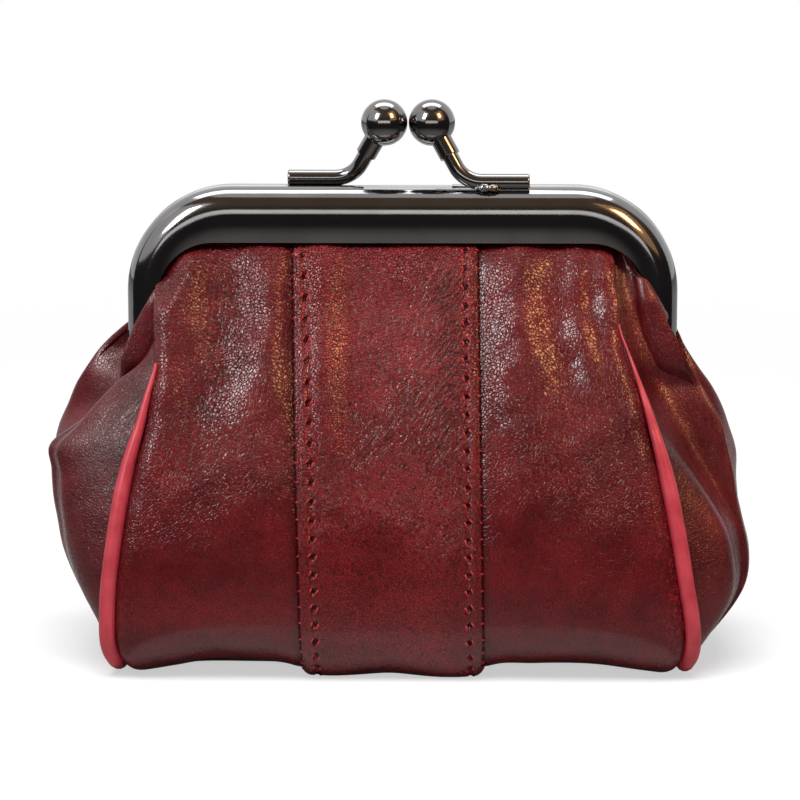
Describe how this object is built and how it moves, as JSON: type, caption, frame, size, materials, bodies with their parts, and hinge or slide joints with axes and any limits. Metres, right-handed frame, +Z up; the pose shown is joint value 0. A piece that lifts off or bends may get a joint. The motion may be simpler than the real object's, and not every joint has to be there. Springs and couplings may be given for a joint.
{
  "type": "kiss lock frame purse",
  "caption": "Small soft leather purse with piped side gussets, gathered into a hinged metal frame that snaps shut with a kiss lock of balls on bent posts.",
  "frame": {"origin": "centre of the base, on the surface that the purse stands on", "axes": "+Z up, +X along the frame's width, to the right when looking at the front; the front faces -Y"},
  "size_m": [0.1268, 0.051, 0.1023],
  "materials": {
    "panel_leather": "pebbled glossy burgundy leather",
    "strip_leather": "fine-grained glossy burgundy leather",
    "gusset_leather": "soft gathered burgundy leather",
    "piping_leather": "smooth light red piping",
    "hem_leather": "turned-in leather edge",
    "gunmetal": "polished black nickel plate on steel",
    "lining_cloth": "plain woven lining",
    "paper_cord": "twisted paper",
    "core_cord": "twisted cotton"
  },
  "bodies": {
    "bag": {"front_center_strip": "strip_leather", "front_left_panel": "panel_leather", "front_lining": "lining_cloth", "front_right_panel": "panel_leather", "left_gusset": "gusset_leather", "left_gusset_lining": "lining_cloth", "left_piping": "piping_leather", "left_piping_core": "core_cord", "rear_center_strip": "strip_leather", "rear_left_panel": "panel_leather", "rear_lining": "lining_cloth", "rear_right_panel": "panel_leather", "right_gusset": "gusset_leather", "right_gusset_lining": "lining_cloth", "right_piping": "piping_leather", "right_piping_core": "core_cord"},
    "front_half": {"front_frame": "gunmetal", "front_leather_hem": "hem_leather", "front_paper_cord": "paper_cord"},
    "rear_half": {"rear_frame": "gunmetal", "rear_leather_hem": "hem_leather", "rear_paper_cord": "paper_cord", "left_hinge_rivet": "gunmetal", "right_hinge_rivet": "gunmetal"},
    "front_lock": {"front_lock_post": "gunmetal", "front_lock_collar": "gunmetal", "front_lock_ball": "gunmetal"},
    "rear_lock": {"rear_lock_post": "gunmetal", "rear_lock_collar": "gunmetal", "rear_lock_ball": "gunmetal"}
  },
  "joints": [
    {"name": "front_frame_hinge", "type": "hinge", "parent": "bag", "child": "front_half", "pos_m": [0, 0, 0.054], "axis": [1, 0, 0], "range_deg": [0, 45]},
    {"name": "rear_frame_hinge", "type": "hinge", "parent": "bag", "child": "rear_half", "pos_m": [0, 0, 0.054], "axis": [-1, 0, 0], "range_deg": [0, 45]},
    {"name": "front_lock_flex", "type": "hinge", "parent": "front_half", "child": "front_lock", "pos_m": [0.018, -0.00335, 0.0877], "axis": [1, 0, 0], "range_deg": [-6, 6], "stiffness_Nm_per_rad": 0.8},
    {"name": "rear_lock_flex", "type": "hinge", "parent": "rear_half", "child": "rear_lock", "pos_m": [-0.016, 0.00335, 0.0877], "axis": [-1, 0, 0], "range_deg": [-6, 6], "stiffness_Nm_per_rad": 0.8}
  ],
  "couplings": [
    {"joint": "rear_frame_hinge", "follows": "front_frame_hinge", "ratio": 1}
  ]
}
